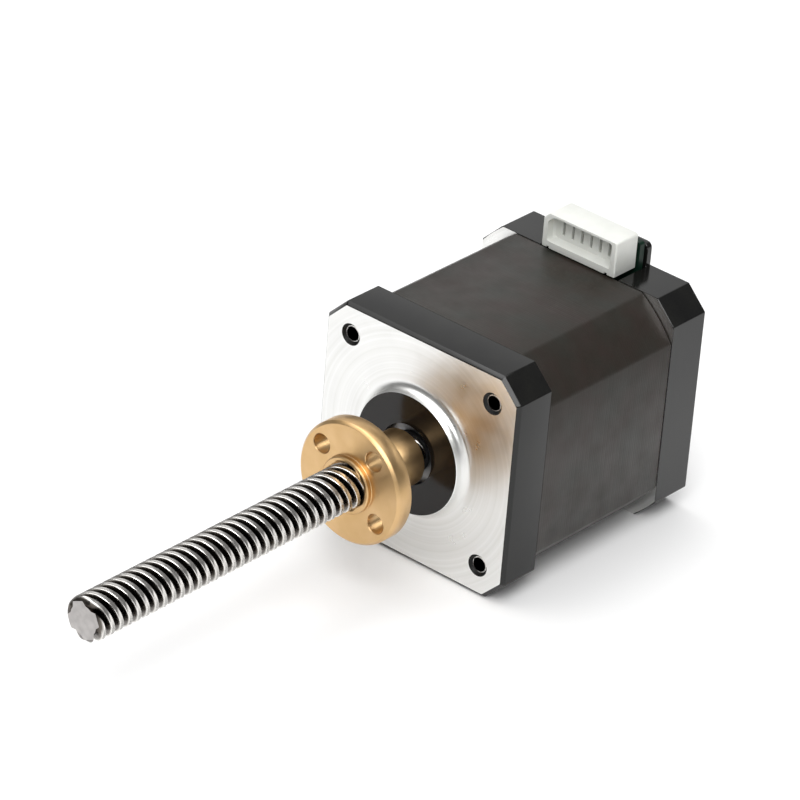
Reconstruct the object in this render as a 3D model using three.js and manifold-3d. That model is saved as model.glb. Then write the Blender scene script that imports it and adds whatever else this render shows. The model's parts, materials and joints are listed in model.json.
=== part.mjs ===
// NEMA 17 stepper motor with a four-start lead screw and a flanged brass nut.
//
// Millimetres, +Z up. The shaft runs along Y and the screw points to -Y. Every length along Y is
// first measured from the mounting face, and every radius from the shaft axis. The last group then
// lifts the motor onto its flat underside and centres it, so that the origin is the middle of the
// footprint.

import * as THREE from "three";
import { mergeVertices } from "three/addons/utils/BufferGeometryUtils.js";
import Module from "manifold-3d";

const wasm = await Module();
wasm.setup();

// ---------------------------------------------------------------- driving dimensions

const GAP = 0.3; // clearance left between pieces that touch
const THROUGH = 1; // how far a cutting tool runs past the face it opens

const FRAME_WIDTH = 42.3;
const HALF_FRAME = FRAME_WIDTH / 2;
const HOLE_OFFSET = 31 / 2; // four M3 holes on a 31 mm square
const BELL_CHAMFER = 4;
const FRONT_BEVEL = 0.65;
const REAR_BEVEL = 0.2;

const STACK_START = 8.3;
const STACK_END = 40.3;
const BODY_END = 49;
const STACK_MIDDLE = (STACK_START + STACK_END) / 2;

const PILOT_RADIUS = 11;
const PILOT_HEIGHT = 2;
const PILOT_BORE_RADIUS = 5.5;

const WINDING_SPACE_RADIUS = 19.3;
const FRONT_WALL = 3.2;
const REAR_WALL_START = 47.7;
const REAR_HOLE_RADIUS = 4;
const HUB_WALL = 1.6;
const TAPPED_RADIUS = 1.4; // M3, taken halfway up its thread
const COUNTERSINK_RADIUS = 2;

const STATOR_HALF_WIDTH = 21.05;
const STATOR_END_GAP = 0.1; // to each end bell
const STATOR_CORNER_RADIUS = 25.2;
const POLE_COUNT = 8;
const POLE_TEETH = 5;
const ROTOR_TEETH = 50;
const TOOTH_DEPTH = 0.6;
const ROTOR_RADIUS = 11.9;
const STATOR_BORE_RADIUS = ROTOR_RADIUS + GAP;
const SHOE_OUTER_RADIUS = 14.1;
const SHOE_TIP_RADIUS = 13.4;
const SLOT_BOTTOM_RADIUS = 18.2;
const POLE_NECK_HALF_WIDTH = 2.6;

const SHAFT_RADIUS = 2.5;
const SHAFT_END = 47.3;
const SCREW_TIP = -79;
const SCREW_SHOULDER = -1;
const THREAD_RADIUS = 3.95;
const THREAD_ROOT_RADIUS = 2.85;
const THREAD_PITCH = 2;
const THREAD_STARTS = 4;
const THREAD_LEAD = THREAD_PITCH * THREAD_STARTS;
const THREAD_STEPS_PER_TURN = 8;
const TIP_CHAMFER = 0.5;
const SPACER_RADIUS = 4;
const MAGNET_RADIUS = 10.5;
const MAGNET_THICKNESS = 2.2;

const BEARING_RADIUS = 8;
const BEARING_WIDTH = 5;
const BEARING_SHOULDER_RADIUS = 6.6;
const BEARING_GROOVE_RADIUS = 7;
const INNER_RING_RADIUS = 3.5;
const BALL_CIRCLE_RADIUS = 5.25;
const BALL_RADIUS = 1.45;
const BALL_COUNT = 7;
const SHIELD_THICKNESS = 0.25;
const FRONT_BEARING_START = -0.7;
const REAR_BEARING_START = 41.7;

const NUT_FLANGE_RADIUS = 11;
const NUT_FLANGE_WIDTH = 3.5;
const NUT_BARREL_RADIUS = 5.1;
const NUT_BARREL_LENGTH = 10;
const NUT_COLLAR_LENGTH = 1;
const NUT_END = -3; // the barrel's end, just clear of the pilot boss
const NUT_HOLE_RADIUS = 1.75;
const NUT_HOLE_CIRCLE_RADIUS = 8;
const NUT_TURN = THREE.MathUtils.degToRad(7);
const NUT_CHAMFER = 0.5;

const CASE_SCREW_RADIUS = 1.5;
const CASE_SCREW_HOLE_RADIUS = 1.85;
const CASE_SCREW_TIP = 4.2;
const CASE_HEAD_RADIUS = 2.75;
const CASE_HEAD_HEIGHT = 2;
const CASE_HEAD_START = 46.7;
const CASE_SCREW_CHAMFER = 0.4;
const HEX_SOCKET_RADIUS = 1.45;
const HEX_SOCKET_DEPTH = 1.3;

const BOARD_START = 46;
const BOARD_THICKNESS = 1.2;
const BOARD_TAB_HALF_WIDTH = 8.3;
const BOARD_RADIUS = 17.5;
const BOARD_TOP = 26;
const BOARD_WAY_BOTTOM = 16.3; // of the notch in the rear bell that the board stands up through
const LUG_HALF_WIDTH = 8.65;
const LUG_TOP = 25.35;
const LUG_CORNER_RADIUS = 1;

const CONNECTOR_HALF_WIDTH = 8;
const CONNECTOR_START = 39.8;
const CONNECTOR_END = 45.7;
const CONNECTOR_BOTTOM = 21.4;
const CONNECTOR_TOP = 28;
const CONNECTOR_WALL = 0.5;
const CONNECTOR_DEPTH = 2.1; // from the mouth to the wall that the pins stand in
const PIN_COUNT = 6;
const PIN_PITCH = 2;
const PIN_WIDTH = 0.5;
const PIN_TIP = 42.4;
const PIN_HEIGHT = 25;
const PIN_STAND_OUT = 0.1; // past the back of the board

const ROUND = 24; // facets round a visible turned piece
const ROUND_SMALL = 16; // facets round a small or hidden one

// ---------------------------------------------------------------- materials

function material(color, roughness, metalness) {
  return new THREE.MeshStandardMaterial({ color, roughness, metalness });
}

const blackPaint = material(0x2a2a28, 0.35, 0.1);
const blackSteel = material(0x393531, 0.5, 0.3);
const toothedSteel = material(0x8c8c8a, 0.4, 0.9);
const steel = material(0xb9b7b3, 0.25, 1);
const brass = material(0xd0a860, 0.3, 1);
const copper = material(0xb4622d, 0.4, 0.9);
const magnetGrey = material(0x4b4b4f, 0.4, 0.6);
const nylon = material(0xe6e6df, 0.5, 0);
const boardGreen = material(0x1f5a3a, 0.5, 0);
const tin = material(0xc8c8c4, 0.3, 1);

// ---------------------------------------------------------------- joining and cutting

const MERGE_DISTANCE = 1e-4;

function toSolid(geometry) {
  const bare = geometry.clone();
  bare.deleteAttribute("normal");
  bare.deleteAttribute("uv");
  const merged = mergeVertices(bare, MERGE_DISTANCE);
  const corners = merged.index.array;
  const triangles = [];
  for (let i = 0; i < corners.length; i += 3) {
    const [a, b, c] = corners.slice(i, i + 3);
    if (a !== b && b !== c && c !== a) triangles.push(a, b, c);
  }
  return new wasm.Manifold(
    new wasm.Mesh({
      numProp: 3,
      vertProperties: new Float32Array(merged.attributes.position.array),
      triVerts: new Uint32Array(triangles),
    }),
  );
}

function toGeometry(solid) {
  const mesh = solid.getMesh();
  const geometry = new THREE.BufferGeometry();
  const points = new THREE.BufferAttribute(new Float32Array(mesh.vertProperties), 3);
  geometry.setAttribute("position", points);
  geometry.setIndex(new THREE.BufferAttribute(new Uint32Array(mesh.triVerts), 1));
  geometry.computeVertexNormals();
  return geometry;
}

function join(...pieces) {
  return toGeometry(pieces.map(toSolid).reduce((whole, piece) => whole.add(piece)));
}

function cut(body, ...tools) {
  return toGeometry(tools.map(toSolid).reduce((rest, tool) => rest.subtract(tool), toSolid(body)));
}

function common(first, second) {
  return toGeometry(toSolid(first).intersect(toSolid(second)));
}

// ---------------------------------------------------------------- shape helpers

// A flat outline in X and Z, pushed along Y from start to end.
function prism(shape, start, end, curveSegments = 8) {
  const geometry = new THREE.ExtrudeGeometry(shape, {
    depth: end - start,
    bevelEnabled: false,
    curveSegments,
  });
  return geometry.rotateX(Math.PI / 2).translate(0, end, 0);
}

function box(x0, x1, y0, y1, z0, z1) {
  const geometry = new THREE.BoxGeometry(x1 - x0, y1 - y0, z1 - z0);
  return geometry.translate((x0 + x1) / 2, (y0 + y1) / 2, (z0 + z1) / 2);
}

// A turned piece round the shaft axis, from [radius, y] corners given counter-clockwise.
function turned(profile, facets = ROUND) {
  return new THREE.LatheGeometry(profile.map(([r, y]) => new THREE.Vector2(r, y)), facets);
}

function rod(radius, start, end, facets = ROUND) {
  return turned([[0, start], [radius, start], [radius, end], [0, end]], facets);
}

function ring(inner, outer, start, end, facets = ROUND) {
  const profile = [[inner, start], [outer, start], [outer, end], [inner, end], [inner, start]];
  return turned(profile, facets);
}

function polar(radius, angle) {
  return [radius * Math.cos(angle), radius * Math.sin(angle)];
}

function shapeOf(points) {
  return new THREE.Shape(points.map(([x, z]) => new THREE.Vector2(x, z)));
}

// The places of the four M3 holes, as [x, z].
const CORNERS = [[1, 1], [-1, 1], [-1, -1], [1, -1]].map(([x, z]) => [
  x * HOLE_OFFSET,
  z * HOLE_OFFSET,
]);

function rodsAtCorners(radius, start, end, facets = ROUND_SMALL) {
  return CORNERS.map(([x, z]) => rod(radius, start, end, facets).translate(x, 0, z));
}

// A square with its corners cut off at 45 degrees.
function bellOutline() {
  const a = HALF_FRAME;
  const b = HALF_FRAME - BELL_CHAMFER;
  return shapeOf([[a, -b], [a, b], [b, a], [-b, a], [-a, b], [-a, -b], [-b, -a], [b, -a]]);
}

// The cast blank of an end bell. The bar is bevelled at both ends, and the bevel that runs past
// the plain end is cut off.
function bellBlank(start, end, bevel, bevelAtStart) {
  const blank = new THREE.ExtrudeGeometry(bellOutline(), {
    depth: end - start,
    bevelThickness: bevel,
    bevelSize: bevel,
    bevelOffset: -bevel,
    bevelSegments: 1,
  });
  const shift = bevelAtStart ? bevel : -bevel;
  blank.rotateX(Math.PI / 2).translate(0, end + shift, 0);
  return common(blank, box(-HALF_FRAME, HALF_FRAME, start, end, -HALF_FRAME, HALF_FRAME));
}

// ---------------------------------------------------------------- case

function frontEndBell() {
  const pocketFloor = FRONT_BEARING_START - GAP;
  const hubRadius = BEARING_RADIUS + GAP + HUB_WALL;
  const hubEnd = FRONT_BEARING_START + BEARING_WIDTH + GAP;
  const pilot = rod(PILOT_RADIUS, -PILOT_HEIGHT, THROUGH, 2 * ROUND);
  const blank = join(bellBlank(0, STACK_START, FRONT_BEVEL, true), pilot);
  const hollowed = cut(blank, rod(WINDING_SPACE_RADIUS, FRONT_WALL, STACK_START + THROUGH));
  const withHub = join(hollowed, rod(hubRadius, FRONT_WALL - THROUGH, hubEnd));
  const sink = COUNTERSINK_RADIUS - TAPPED_RADIUS;
  const cone = [[0, -sink], [COUNTERSINK_RADIUS + sink, -sink], [TAPPED_RADIUS, sink], [0, sink]];
  const cones = CORNERS.map(([x, z]) => turned(cone, ROUND_SMALL).translate(x, 0, z));
  const tapped = rodsAtCorners(TAPPED_RADIUS, -THROUGH, STACK_START + THROUGH);
  const clearance = CASE_SCREW_TIP - GAP;
  const screwWays = rodsAtCorners(CASE_SCREW_HOLE_RADIUS, clearance, STACK_START + THROUGH);
  return cut(
    withHub,
    rod(BEARING_RADIUS + GAP, pocketFloor, hubEnd + THROUGH),
    rod(PILOT_BORE_RADIUS, -PILOT_HEIGHT - THROUGH, 0),
    ...cones,
    ...tapped,
    ...screwWays,
  );
}

// The raised tab behind the connector, with two rounded top corners.
function lug() {
  const r = LUG_CORNER_RADIUS;
  const shape = new THREE.Shape();
  shape.moveTo(-LUG_HALF_WIDTH, HALF_FRAME - THROUGH);
  shape.lineTo(LUG_HALF_WIDTH, HALF_FRAME - THROUGH);
  shape.lineTo(LUG_HALF_WIDTH, LUG_TOP - r);
  shape.absarc(LUG_HALF_WIDTH - r, LUG_TOP - r, r, 0, Math.PI / 2);
  shape.absarc(-LUG_HALF_WIDTH + r, LUG_TOP - r, r, Math.PI / 2, Math.PI);
  return prism(shape, REAR_WALL_START, BODY_END, 4);
}

function rearEndBell() {
  const hubRadius = BEARING_RADIUS + GAP + HUB_WALL;
  const blank = join(bellBlank(STACK_END, BODY_END, REAR_BEVEL, false), lug());
  const hollowed = cut(blank, rod(WINDING_SPACE_RADIUS, STACK_END - THROUGH, REAR_WALL_START));
  const withHub = join(hollowed, rod(hubRadius, REAR_BEARING_START, REAR_WALL_START + THROUGH));
  const boardWay = box(-LUG_HALF_WIDTH, LUG_HALF_WIDTH, STACK_END - THROUGH, REAR_WALL_START,
    BOARD_WAY_BOTTOM, HALF_FRAME + THROUGH);
  return cut(
    withHub,
    rod(BEARING_RADIUS + GAP, REAR_BEARING_START - THROUGH, REAR_WALL_START),
    rod(REAR_HOLE_RADIUS, REAR_WALL_START - THROUGH, BODY_END + THROUGH),
    boardWay,
    ...rodsAtCorners(CASE_SCREW_HOLE_RADIUS, STACK_END - THROUGH, BODY_END + THROUGH),
    ...rodsAtCorners(CASE_HEAD_RADIUS + GAP, CASE_HEAD_START - GAP, BODY_END + THROUGH),
  );
}

function caseScrew([x, z]) {
  const headEnd = CASE_HEAD_START + CASE_HEAD_HEIGHT;
  const body = turned([
    [0, CASE_SCREW_TIP],
    [CASE_SCREW_RADIUS - CASE_SCREW_CHAMFER, CASE_SCREW_TIP],
    [CASE_SCREW_RADIUS, CASE_SCREW_TIP + CASE_SCREW_CHAMFER],
    [CASE_SCREW_RADIUS, CASE_HEAD_START],
    [CASE_HEAD_RADIUS, CASE_HEAD_START],
    [CASE_HEAD_RADIUS, headEnd - CASE_SCREW_CHAMFER],
    [CASE_HEAD_RADIUS - CASE_SCREW_CHAMFER, headEnd],
    [0, headEnd],
  ], ROUND_SMALL);
  const hexSocket = rod(HEX_SOCKET_RADIUS, headEnd - HEX_SOCKET_DEPTH, headEnd + THROUGH, 6);
  return cut(body, hexSocket).translate(x, 0, z);
}

// ---------------------------------------------------------------- stator

// The stator's outside: a square whose four corners are trimmed by arcs of one circle.
function statorOutline() {
  const half = Math.acos(STATOR_HALF_WIDTH / STATOR_CORNER_RADIUS);
  const points = [];
  const arcSteps = 5;
  for (let corner = 0; corner < 4; corner += 1) {
    const from = (corner * Math.PI) / 2 + half;
    const to = ((corner + 1) * Math.PI) / 2 - half;
    for (let i = 0; i <= arcSteps; i += 1) {
      points.push(polar(STATOR_CORNER_RADIUS, from + ((to - from) * i) / arcSteps));
    }
  }
  return points;
}

// The bore and the slots between the poles, as one outline that runs round all eight poles.
function statorOpening() {
  const points = [];
  const toothPitch = (2 * Math.PI) / ROTOR_TEETH;
  const shoeHalfAngle = ((POLE_TEETH - 0.5) / 2) * toothPitch;
  for (let pole = 0; pole < POLE_COUNT; pole += 1) {
    const middle = (pole * 2 * Math.PI) / POLE_COUNT;
    const neckInner = Math.asin(POLE_NECK_HALF_WIDTH / SHOE_OUTER_RADIUS);
    const neckOuter = Math.asin(POLE_NECK_HALF_WIDTH / SLOT_BOTTOM_RADIUS);
    points.push(polar(SLOT_BOTTOM_RADIUS, middle - neckOuter));
    points.push(polar(SHOE_OUTER_RADIUS, middle - neckInner));
    points.push(polar(SHOE_TIP_RADIUS, middle - shoeHalfAngle));
    for (let tooth = 0; tooth < POLE_TEETH; tooth += 1) {
      const start = middle - shoeHalfAngle + tooth * toothPitch;
      points.push(polar(STATOR_BORE_RADIUS, start));
      points.push(polar(STATOR_BORE_RADIUS, start + toothPitch / 2));
      if (tooth < POLE_TEETH - 1) {
        points.push(polar(STATOR_BORE_RADIUS + TOOTH_DEPTH, start + toothPitch / 2));
        points.push(polar(STATOR_BORE_RADIUS + TOOTH_DEPTH, start + toothPitch));
      }
    }
    points.push(polar(SHOE_TIP_RADIUS, middle + shoeHalfAngle));
    points.push(polar(SHOE_OUTER_RADIUS, middle + neckInner));
    points.push(polar(SLOT_BOTTOM_RADIUS, middle + neckOuter));
    points.push(polar(SLOT_BOTTOM_RADIUS, middle + Math.PI / POLE_COUNT));
  }
  return points;
}

function circlePath(x, z, radius) {
  const path = new THREE.Path();
  path.absarc(x, z, radius, 0, 2 * Math.PI);
  return path;
}

function statorCore() {
  const shape = shapeOf(statorOutline());
  shape.holes.push(shapeOf(statorOpening()));
  CORNERS.forEach(([x, z]) => shape.holes.push(circlePath(x, z, CASE_SCREW_HOLE_RADIUS)));
  return prism(shape, STACK_START + STATOR_END_GAP, STACK_END - STATOR_END_GAP);
}

const INSULATOR_THICKNESS = 0.8;

// A moulded ring with one finger over each pole, which keeps the wire off the steel.
function insulator(start) {
  const end = start + INSULATOR_THICKNESS;
  const ringInner = 18.1;
  const ringOuter = 18.9;
  const fingerStart = 12.9;
  const fingerEnd = (ringInner + ringOuter) / 2;
  const rim = ring(ringInner, ringOuter, start, end, ROUND_SMALL);
  const fingers = [];
  for (let pole = 0; pole < POLE_COUNT; pole += 1) {
    const finger = box(fingerStart, fingerEnd, start, end,
      -POLE_NECK_HALF_WIDTH, POLE_NECK_HALF_WIDTH);
    fingers.push(finger.rotateY((pole * 2 * Math.PI) / POLE_COUNT));
  }
  return join(rim, ...fingers);
}

function roundedRectangle(halfWidth, halfLength, radius) {
  const path = new THREE.Shape();
  const x = halfWidth - radius;
  const y = halfLength - radius;
  path.absarc(x, y, radius, 0, Math.PI / 2);
  path.absarc(-x, y, radius, Math.PI / 2, Math.PI);
  path.absarc(-x, -y, radius, Math.PI, 1.5 * Math.PI);
  path.absarc(x, -y, radius, 1.5 * Math.PI, 2 * Math.PI);
  return path;
}

// One winding: a loop round the neck of its pole, pushed outwards along the pole.
function coil() {
  const innerRadius = 14.5;
  const outerRadius = 17.2;
  const innerHalfWidth = POLE_NECK_HALF_WIDTH + GAP;
  const outerHalfWidth = 4.7;
  const innerHalfLength = (STACK_END - STACK_START) / 2 + INSULATOR_THICKNESS + 2 * GAP;
  const wireThickness = 2.1;
  const outerHalfLength = innerHalfLength + wireThickness;
  const outerCorner = 1.6;
  const innerCorner = 0.4;
  const shape = roundedRectangle(outerHalfWidth, outerHalfLength, outerCorner);
  shape.holes.push(roundedRectangle(innerHalfWidth, innerHalfLength, innerCorner));
  const geometry = new THREE.ExtrudeGeometry(shape, {
    depth: outerRadius - innerRadius,
    bevelEnabled: false,
    curveSegments: 1,
  });
  return geometry.translate(0, STACK_MIDDLE, innerRadius);
}

// ---------------------------------------------------------------- terminal board and connector

function pinPlaces() {
  const first = (-(PIN_COUNT - 1) * PIN_PITCH) / 2;
  return Array.from({ length: PIN_COUNT }, (_, i) => first + i * PIN_PITCH);
}

function terminalBoard() {
  const inner = BEARING_RADIUS + GAP + HUB_WALL + GAP;
  const end = BOARD_START + BOARD_THICKNESS;
  const disc = ring(inner, BOARD_RADIUS, BOARD_START, end);
  const tabBottom = (inner + BOARD_RADIUS) / 2;
  const tab = box(-BOARD_TAB_HALF_WIDTH, BOARD_TAB_HALF_WIDTH, BOARD_START, end, tabBottom, BOARD_TOP);
  const halfHole = PIN_WIDTH / 2 + GAP;
  const holes = pinPlaces().map((x) =>
    box(x - halfHole, x + halfHole, BOARD_START - THROUGH, end + THROUGH,
      PIN_HEIGHT - halfHole, PIN_HEIGHT + halfHole),
  );
  return cut(join(disc, tab), ...holes);
}

// A shrouded header: a box with a shallow mouth at the front, a foot at each end, and a slot in the
// wall behind the mouth for each pin, which stands back inside it.
function connectorHousing() {
  const w = CONNECTOR_HALF_WIDTH;
  const footWidth = 1.4;
  const footDrop = 0.3;
  const body = box(-w, w, CONNECTOR_START, CONNECTOR_END, CONNECTOR_BOTTOM + footDrop, CONNECTOR_TOP);
  const feet = [-w, w - footWidth].map((x) =>
    box(x, x + footWidth, CONNECTOR_START, CONNECTOR_END, CONNECTOR_BOTTOM,
      CONNECTOR_BOTTOM + THROUGH),
  );
  const mouth = CONNECTOR_START - THROUGH;
  const pinWall = CONNECTOR_START + CONNECTOR_DEPTH;
  const cavity = box(-w + CONNECTOR_WALL, w - CONNECTOR_WALL, mouth, pinWall,
    CONNECTOR_BOTTOM + footDrop + CONNECTOR_WALL, CONNECTOR_TOP - CONNECTOR_WALL);
  const slotHalfWidth = PIN_WIDTH / 2 + GAP;
  const slotHalfHeight = 1.3;
  const slots = pinPlaces().map((x) =>
    box(x - slotHalfWidth, x + slotHalfWidth, mouth, CONNECTOR_END + THROUGH,
      PIN_HEIGHT - slotHalfHeight, PIN_HEIGHT + slotHalfHeight),
  );
  return cut(join(body, ...feet), cavity, ...slots);
}

function connectorPin(x) {
  const half = PIN_WIDTH / 2;
  const end = BOARD_START + BOARD_THICKNESS + PIN_STAND_OUT;
  return box(x - half, x + half, PIN_TIP, end, PIN_HEIGHT - half, PIN_HEIGHT + half);
}

// ---------------------------------------------------------------- bearings

function outerRing(start) {
  const end = start + BEARING_WIDTH;
  const groove = 1.3; // where it starts, from each side
  const slope = 0.4;
  return turned([
    [BEARING_SHOULDER_RADIUS, start],
    [BEARING_RADIUS, start],
    [BEARING_RADIUS, end],
    [BEARING_SHOULDER_RADIUS, end],
    [BEARING_SHOULDER_RADIUS, end - groove],
    [BEARING_GROOVE_RADIUS, end - groove - slope],
    [BEARING_GROOVE_RADIUS, start + groove + slope],
    [BEARING_SHOULDER_RADIUS, start + groove],
    [BEARING_SHOULDER_RADIUS, start],
  ], ROUND_SMALL);
}

function innerRing(start) {
  const end = start + BEARING_WIDTH;
  return ring(SHAFT_RADIUS + GAP, INNER_RING_RADIUS, start, end, ROUND_SMALL);
}

// The balls and the riveted cage between them, as one piece.
function ballCage(start) {
  const middle = start + BEARING_WIDTH / 2;
  const cageHalfWidth = 0.8;
  const cageHalfThickness = 0.4;
  const cage = ring(BALL_CIRCLE_RADIUS - cageHalfThickness, BALL_CIRCLE_RADIUS + cageHalfThickness,
    middle - cageHalfWidth, middle + cageHalfWidth, 2 * BALL_COUNT);
  const balls = [];
  for (let i = 0; i < BALL_COUNT; i += 1) {
    const [x, z] = polar(BALL_CIRCLE_RADIUS, (i * 2 * Math.PI) / BALL_COUNT);
    balls.push(new THREE.SphereGeometry(BALL_RADIUS, 6, 4).translate(x, middle, z));
  }
  return join(cage, ...balls);
}

function bearingShield(start) {
  const end = start + SHIELD_THICKNESS;
  return ring(INNER_RING_RADIUS + GAP, BEARING_SHOULDER_RADIUS - GAP, start, end, ROUND_SMALL);
}

// The preload spring behind the rear bearing: a flat ring bent into three waves.
function waveWasher() {
  const inner = 6;
  const outer = 7.7;
  const thickness = 0.3;
  const amplitude = 0.12;
  const waves = 3;
  const middle = (REAR_BEARING_START + BEARING_WIDTH + REAR_WALL_START) / 2;
  const flat = ring(inner, outer, middle - thickness / 2, middle + thickness / 2);
  const points = flat.attributes.position;
  for (let i = 0; i < points.count; i += 1) {
    const angle = Math.atan2(points.getZ(i), points.getX(i));
    points.setY(i, points.getY(i) + amplitude * Math.cos(waves * angle));
  }
  return flat;
}

// ---------------------------------------------------------------- rotor

// The thread's cross-section: one crest and one root for each start, pushed along Y and twisted
// by one turn for each lead. A right-hand thread turns from Z towards X as Y grows.
function threadedRod() {
  const crest = 0.38; // share of a pitch that the crest takes
  const points = [];
  for (let start = 0; start < THREAD_STARTS; start += 1) {
    const at = (share) => ((start + share) * 2 * Math.PI) / THREAD_STARTS;
    points.push(polar(THREAD_RADIUS, at(0)));
    points.push(polar(THREAD_RADIUS, at(crest)));
    points.push(polar(THREAD_ROOT_RADIUS, at((1 + crest) / 2)));
  }
  const length = SCREW_SHOULDER - SCREW_TIP;
  const geometry = new THREE.ExtrudeGeometry(shapeOf(points), {
    depth: length,
    steps: Math.round((length / THREAD_LEAD) * THREAD_STEPS_PER_TURN),
    bevelEnabled: false,
  });
  geometry.rotateX(Math.PI / 2).translate(0, SCREW_SHOULDER, 0);
  const place = geometry.attributes.position;
  const point = new THREE.Vector3();
  for (let i = 0; i < place.count; i += 1) {
    point.fromBufferAttribute(place, i);
    point.applyAxisAngle(new THREE.Vector3(0, 1, 0), (point.y * 2 * Math.PI) / THREAD_LEAD);
    place.setXYZ(i, point.x, point.y, point.z);
  }
  return geometry;
}

function leadScrew() {
  const envelope = turned([
    [0, SCREW_TIP],
    [THREAD_RADIUS - TIP_CHAMFER, SCREW_TIP],
    [THREAD_RADIUS, SCREW_TIP + TIP_CHAMFER],
    [THREAD_RADIUS + THROUGH, SCREW_TIP + TIP_CHAMFER],
    [THREAD_RADIUS + THROUGH, SCREW_SHOULDER],
    [0, SCREW_SHOULDER],
  ]);
  const shaft = rod(SHAFT_RADIUS, SCREW_SHOULDER - THROUGH, SHAFT_END, ROUND_SMALL);
  return join(common(threadedRod(), envelope), shaft);
}

// A toothed iron cup. The second cup is turned by half a tooth against the first.
function rotorCup(start, end, toothOffset) {
  const pitch = (2 * Math.PI) / ROTOR_TEETH;
  const crest = 0.42; // share of a pitch that a tooth's top takes
  const points = [];
  for (let tooth = 0; tooth < ROTOR_TEETH; tooth += 1) {
    const from = (tooth + toothOffset) * pitch;
    points.push(polar(ROTOR_RADIUS, from));
    points.push(polar(ROTOR_RADIUS, from + pitch * crest));
    points.push(polar(ROTOR_RADIUS - TOOTH_DEPTH, from + pitch * (1 + crest) / 2));
  }
  const shape = shapeOf(points);
  shape.holes.push(circlePath(0, 0, SHAFT_RADIUS + GAP));
  return prism(shape, start, end);
}

function spacer(start, end) {
  return ring(SHAFT_RADIUS + GAP, SPACER_RADIUS, start, end, ROUND_SMALL);
}

// ---------------------------------------------------------------- nut

function flangedNut() {
  const boreRadius = THREAD_RADIUS + GAP;
  const flangeEnd = NUT_END - NUT_BARREL_LENGTH;
  const flangeStart = flangeEnd - NUT_FLANGE_WIDTH;
  const collarStart = flangeStart - NUT_COLLAR_LENGTH;
  const body = turned([
    [boreRadius, collarStart],
    [NUT_BARREL_RADIUS, collarStart],
    [NUT_BARREL_RADIUS, flangeStart],
    [NUT_FLANGE_RADIUS - NUT_CHAMFER, flangeStart],
    [NUT_FLANGE_RADIUS, flangeStart + NUT_CHAMFER],
    [NUT_FLANGE_RADIUS, flangeEnd],
    [NUT_BARREL_RADIUS, flangeEnd],
    [NUT_BARREL_RADIUS, NUT_END],
    [boreRadius, NUT_END],
    [boreRadius, collarStart],
  ]);
  const holes = [];
  for (let i = 0; i < 4; i += 1) {
    const [x, z] = polar(NUT_HOLE_CIRCLE_RADIUS, NUT_TURN + Math.PI / 4 + (i * Math.PI) / 2);
    const hole = rod(NUT_HOLE_RADIUS, flangeStart - THROUGH, flangeEnd + THROUGH, ROUND_SMALL);
    holes.push(hole.translate(x, 0, z));
  }
  return cut(body, ...holes);
}

// ---------------------------------------------------------------- assembly

const motor = new THREE.Group();

function add(name, geometry, surface) {
  const mesh = new THREE.Mesh(geometry, surface);
  mesh.name = name;
  motor.add(mesh);
  return mesh;
}

add("front_end_bell", frontEndBell(), blackPaint);
add("rear_end_bell", rearEndBell(), blackPaint);
CORNERS.forEach((place, i) => add(`case_screw_${i + 1}`, caseScrew(place), steel));

add("stator_core", statorCore(), blackSteel);
add("front_insulator", insulator(STACK_START - GAP - INSULATOR_THICKNESS), nylon);
add("rear_insulator", insulator(STACK_END + GAP), nylon);
for (let i = 0; i < POLE_COUNT; i += 1) {
  add(`coil_${i + 1}`, coil(), copper).rotation.y = (i * 2 * Math.PI) / POLE_COUNT;
}

add("terminal_board", terminalBoard(), boardGreen);
add("connector_housing", connectorHousing(), nylon);
pinPlaces().forEach((x, i) => add(`connector_pin_${i + 1}`, connectorPin(x), tin));

for (const [side, start] of [["front", FRONT_BEARING_START], ["rear", REAR_BEARING_START]]) {
  add(`${side}_bearing_outer_ring`, outerRing(start), steel);
  add(`${side}_bearing_inner_ring`, innerRing(start), steel);
  add(`${side}_bearing_ball_cage`, ballCage(start), steel);
  add(`${side}_bearing_front_shield`, bearingShield(start + GAP), steel);
  add(`${side}_bearing_rear_shield`, bearingShield(start + BEARING_WIDTH - 2 * GAP), steel);
}
add("wave_washer", waveWasher(), steel);

add("lead_screw", leadScrew(), steel);
const magnetStart = STACK_MIDDLE - MAGNET_THICKNESS / 2;
const magnetEnd = STACK_MIDDLE + MAGNET_THICKNESS / 2;
add("front_rotor_cup", rotorCup(STACK_START + GAP, magnetStart - GAP, 0), toothedSteel);
add("rear_rotor_cup", rotorCup(magnetEnd + GAP, STACK_END - GAP, 0.5), toothedSteel);
const magnet = ring(SHAFT_RADIUS + GAP, MAGNET_RADIUS, magnetStart, magnetEnd, ROUND_SMALL);
add("rotor_magnet", magnet, magnetGrey);
add("front_spacer", spacer(FRONT_BEARING_START + BEARING_WIDTH + GAP, STACK_START), steel);
add("rear_spacer", spacer(STACK_END, REAR_BEARING_START - GAP), steel);

add("flanged_nut", flangedNut(), brass);

// The motor stands on its underside, centred over the footprint of screw and body together.
motor.position.set(0, -(SCREW_TIP + BODY_END) / 2, HALF_FRAME);

const part = new THREE.Group();
part.add(motor);

export default part;
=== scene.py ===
import json
import math
import random

import bmesh
import bpy
from mathutils import Matrix, Vector


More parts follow.
